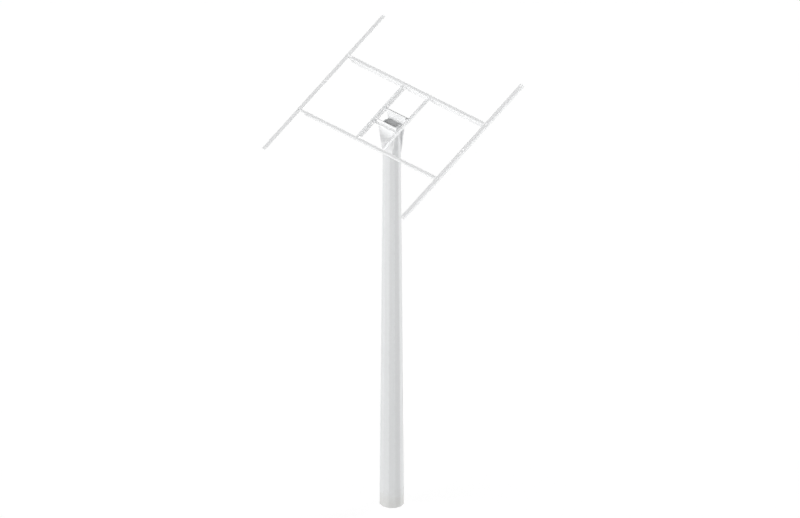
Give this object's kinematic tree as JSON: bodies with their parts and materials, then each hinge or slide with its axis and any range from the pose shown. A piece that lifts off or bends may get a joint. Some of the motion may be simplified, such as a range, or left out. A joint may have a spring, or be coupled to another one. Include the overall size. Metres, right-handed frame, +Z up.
{
  "type": "solar light pole",
  "caption": "Tapered twelve-sided steel mast with an open sloping angle-steel frame on its head, made to hold solar panels.",
  "frame": {"origin": "centre of the pole's foot, in the plane of its cut end at ground level", "axes": "+Z up along the pole, +X along the cross beams, +Y towards the high side of the sloping frame"},
  "size_m": [2.095, 1.8003, 5.1109],
  "materials": {
    "pole_steel": "satin",
    "head_steel": "satin",
    "frame_steel": "satin"
  },
  "bodies": {
    "root": {"pole": "pole_steel", "front_head_plate": "head_steel", "back_head_plate": "head_steel", "front_ledge": "head_steel", "back_ledge": "head_steel", "left_carrier": "frame_steel", "right_carrier": "frame_steel", "lower_cross_beam": "frame_steel", "upper_cross_beam": "frame_steel", "left_rail": "frame_steel", "right_rail": "frame_steel"}
  },
  "joints": []
}
